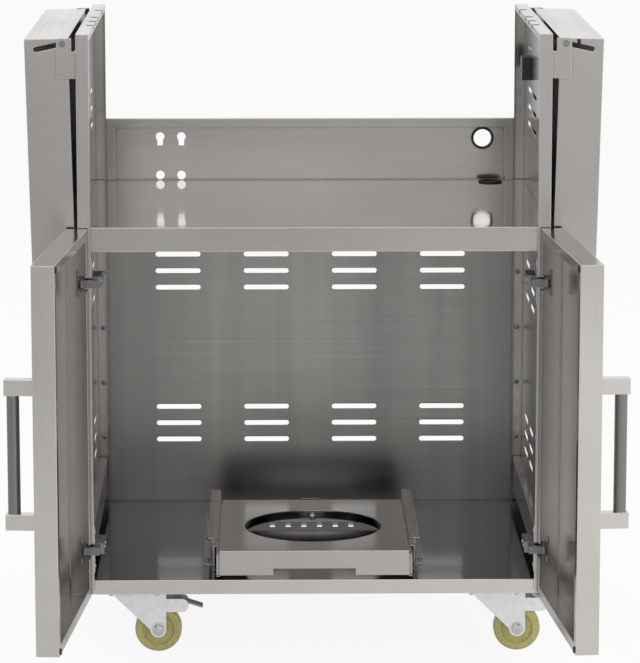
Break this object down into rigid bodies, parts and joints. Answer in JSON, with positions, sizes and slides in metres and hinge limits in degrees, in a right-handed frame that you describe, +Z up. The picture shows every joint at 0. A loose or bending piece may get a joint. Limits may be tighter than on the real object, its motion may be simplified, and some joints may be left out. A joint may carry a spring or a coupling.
{
  "type": "grill_cart",
  "caption": "Stainless cart for a built-in grill head: cabinet with two doors, pull-out gas bottle tray, fold-down side shelves and swivel casters",
  "frame": {"origin": "centre of the bounding box on the ground, below the cart's mid plane", "axes": "+Z up, -Y towards the viewer out of the cabinet's front, +X to the right hand of a person facing the doors"},
  "size_m": [0.9278, 0.9474, 1],
  "materials": {
    "brushed_stainless": "brushed, grain along the sheet",
    "handle_steel": "fine satin",
    "zinc_steel": "zinc plated, dull",
    "bright_steel": "bright plated",
    "cream_wheel": "smooth cream polymer",
    "black_rubber": "matt",
    "black_plastic": "matt"
  },
  "bodies": {
    "cart": {"back_grommet": "black_rubber", "back_panel_screws": "bright_steel", "caster_plates": "zinc_steel", "connector_box": "black_plastic", "deck": "brushed_stainless", "deck_grommet": "black_rubber", "deck_stiffeners": "brushed_stainless", "floor_panel": "brushed_stainless", "front_base_rail": "brushed_stainless", "hinge_plates": "zinc_steel", "left_hinge_arms": "zinc_steel", "left_shelf_brackets": "brushed_stainless", "left_side_panel": "brushed_stainless", "left_side_rail": "brushed_stainless", "left_slide_bracket": "zinc_steel", "left_slide_outer": "zinc_steel", "lower_back_panel": "brushed_stainless", "rear_base_rail": "brushed_stainless", "right_hinge_arms": "zinc_steel", "right_shelf_brackets": "brushed_stainless", "right_side_panel": "brushed_stainless", "right_side_rail": "brushed_stainless", "right_slide_bracket": "zinc_steel", "right_slide_outer": "zinc_steel", "shelf_pivot_pins": "bright_steel", "upper_back_panel": "brushed_stainless"},
    "left_door": {"left_door_bumpers": "black_rubber", "left_door_pan": "brushed_stainless", "left_handle_bar": "handle_steel", "left_handle_posts": "handle_steel", "left_hinge_cups": "zinc_steel", "left_hinge_pins": "bright_steel"},
    "left_shelf": {"left_shelf_pan": "brushed_stainless"},
    "right_door": {"right_door_bumpers": "black_rubber", "right_door_pan": "brushed_stainless", "right_handle_bar": "handle_steel", "right_handle_posts": "handle_steel", "right_hinge_cups": "zinc_steel", "right_hinge_pins": "bright_steel"},
    "right_shelf": {"right_shelf_pan": "brushed_stainless"},
    "tray": {"slide_inner_members": "zinc_steel", "tank_tray": "brushed_stainless"},
    "slide_middle": {"slide_middle_members": "zinc_steel"},
    "tank_clamp": {"tank_clamp_screw": "bright_steel"},
    "caster_front_left": {"caster_axle_front_left": "bright_steel", "caster_fork_front_left": "zinc_steel"},
    "wheel_front_left": {"caster_wheel_front_left": "cream_wheel"},
    "brake_front_left": {"brake_lever_front_left": "zinc_steel"},
    "caster_front_right": {"caster_axle_front_right": "bright_steel", "caster_fork_front_right": "zinc_steel"},
    "wheel_front_right": {"caster_wheel_front_right": "cream_wheel"},
    "brake_front_right": {"brake_lever_front_right": "zinc_steel"},
    "caster_rear_left": {"caster_axle_rear_left": "bright_steel", "caster_fork_rear_left": "zinc_steel"},
    "wheel_rear_left": {"caster_wheel_rear_left": "cream_wheel"},
    "caster_rear_right": {"caster_axle_rear_right": "bright_steel", "caster_fork_rear_right": "zinc_steel"},
    "wheel_rear_right": {"caster_wheel_rear_right": "cream_wheel"}
  },
  "joints": [
    {"name": "left_door_hinge", "type": "hinge", "parent": "cart", "child": "left_door", "pos_m": [-0.365, -0.11061, 0.395], "axis": [0, 0, -1], "range_deg": [-94.6, 12]},
    {"name": "left_shelf_pivot", "type": "hinge", "parent": "cart", "child": "left_shelf", "pos_m": [-0.392, 0.18569, 0.985], "axis": [0, 1, 0], "range_deg": [0, 91.25]},
    {"name": "right_door_hinge", "type": "hinge", "parent": "cart", "child": "right_door", "pos_m": [0.365, -0.11061, 0.395], "axis": [0, 0, 1], "range_deg": [-94.6, 12]},
    {"name": "right_shelf_pivot", "type": "hinge", "parent": "cart", "child": "right_shelf", "pos_m": [0.392, 0.18569, 0.985], "axis": [0, -1, 0], "range_deg": [0, 91.25]},
    {"name": "tray_slide", "type": "slide", "parent": "cart", "child": "tray", "axis": [0, -1, 0], "range_m": [-0.094, 0.243]},
    {"name": "slide_middle_travel", "type": "slide", "parent": "cart", "child": "slide_middle", "axis": [0, -1, 0], "range_m": [-0.047, 0.1215]},
    {"name": "tank_clamp_travel", "type": "slide", "parent": "tray", "child": "tank_clamp", "axis": [0, -1, 0], "range_m": [-0.005, 0.012]},
    {"name": "caster_swivel_front_left", "type": "hinge", "parent": "cart", "child": "caster_front_left", "pos_m": [-0.289, -0.04331, 0.106], "axis": [0, 0, 1], "continuous": true},
    {"name": "wheel_spin_front_left", "type": "hinge", "parent": "caster_front_left", "child": "wheel_front_left", "pos_m": [-0.251, -0.04331, 0.0375], "axis": [0, 1, 0], "continuous": true},
    {"name": "brake_pivot_front_left", "type": "hinge", "parent": "caster_front_left", "child": "brake_front_left", "pos_m": [-0.213, -0.04331, 0.0775], "axis": [0, -1, 0], "range_deg": [0, 12]},
    {"name": "caster_swivel_front_right", "type": "hinge", "parent": "cart", "child": "caster_front_right", "pos_m": [0.289, -0.04331, 0.106], "axis": [0, 0, 1], "continuous": true},
    {"name": "wheel_spin_front_right", "type": "hinge", "parent": "caster_front_right", "child": "wheel_front_right", "pos_m": [0.327, -0.04331, 0.0375], "axis": [0, 1, 0], "continuous": true},
    {"name": "brake_pivot_front_right", "type": "hinge", "parent": "caster_front_right", "child": "brake_front_right", "pos_m": [0.365, -0.04331, 0.0775], "axis": [0, -1, 0], "range_deg": [0, 12]},
    {"name": "caster_swivel_rear_left", "type": "hinge", "parent": "cart", "child": "caster_rear_left", "pos_m": [-0.289, 0.41469, 0.106], "axis": [0, 0, 1], "continuous": true},
    {"name": "wheel_spin_rear_left", "type": "hinge", "parent": "caster_rear_left", "child": "wheel_rear_left", "pos_m": [-0.251, 0.41469, 0.0375], "axis": [0, 1, 0], "continuous": true},
    {"name": "caster_swivel_rear_right", "type": "hinge", "parent": "cart", "child": "caster_rear_right", "pos_m": [0.289, 0.41469, 0.106], "axis": [0, 0, 1], "continuous": true},
    {"name": "wheel_spin_rear_right", "type": "hinge", "parent": "caster_rear_right", "child": "wheel_rear_right", "pos_m": [0.327, 0.41469, 0.0375], "axis": [0, 1, 0], "continuous": true}
  ],
  "couplings": [
    {"joint": "slide_middle_travel", "follows": "tray_slide", "ratio": 0.5}
  ]
}
